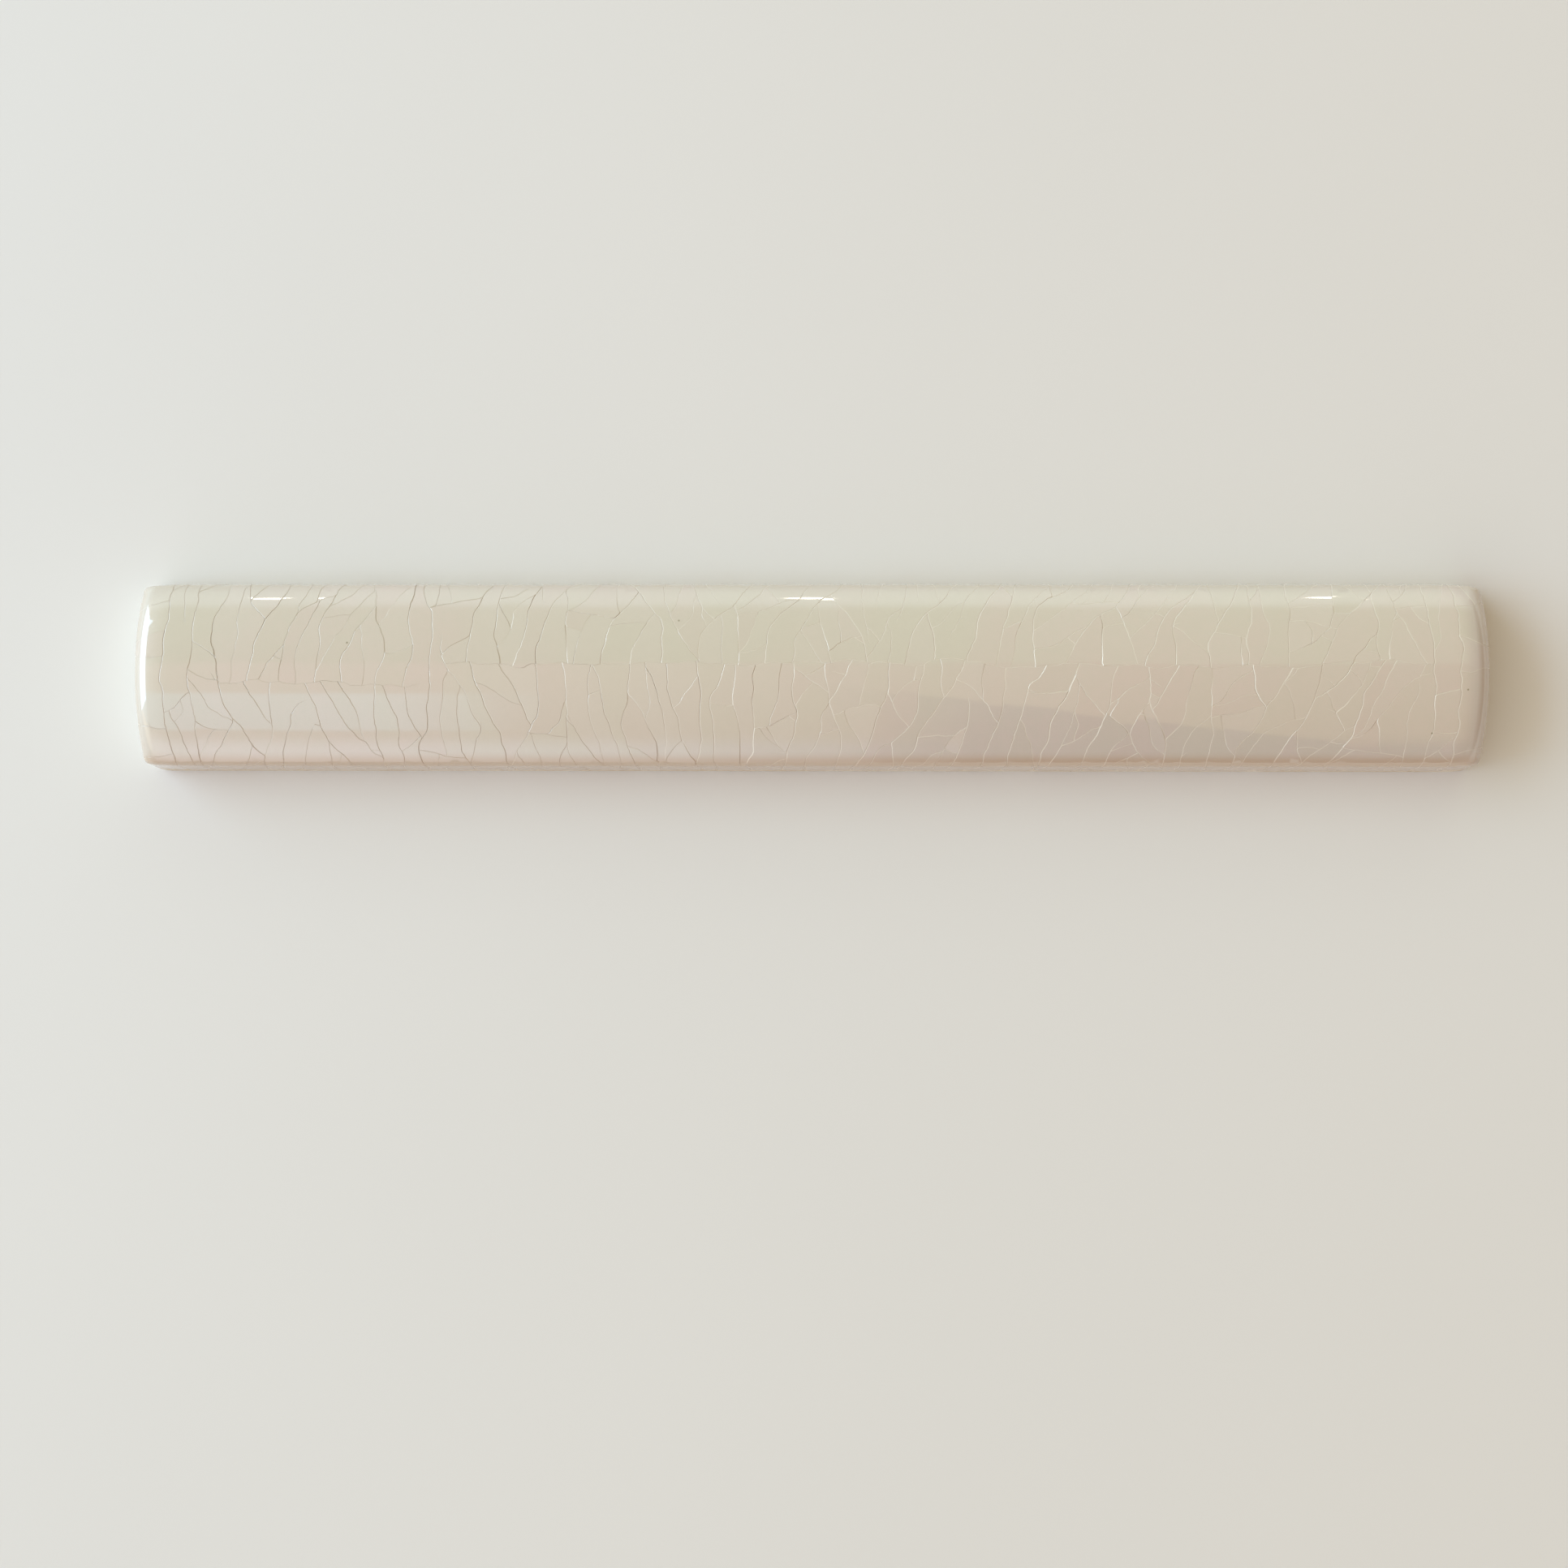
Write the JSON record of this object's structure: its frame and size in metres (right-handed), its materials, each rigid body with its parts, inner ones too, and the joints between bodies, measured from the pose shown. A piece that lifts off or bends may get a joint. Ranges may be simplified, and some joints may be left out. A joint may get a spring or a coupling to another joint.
{
  "type": "border tile",
  "caption": "Slim domed border tile with drafted sides, rolled-over ends and key grooves pressed into its flat back, in ivory crackle glaze.",
  "frame": {"origin": "centre of the flat back", "axes": "+X along the tile's length, +Y across its width, +Z out of the back towards the domed face"},
  "size_m": [0.15, 0.0214, 0.009],
  "materials": {
    "crackle_glaze": "glossy ivory glaze with a fine craze network over the domed face, sides and ends; bare fired clay on the back"
  },
  "bodies": {
    "root": {"border_tile": "crackle_glaze"}
  },
  "joints": []
}
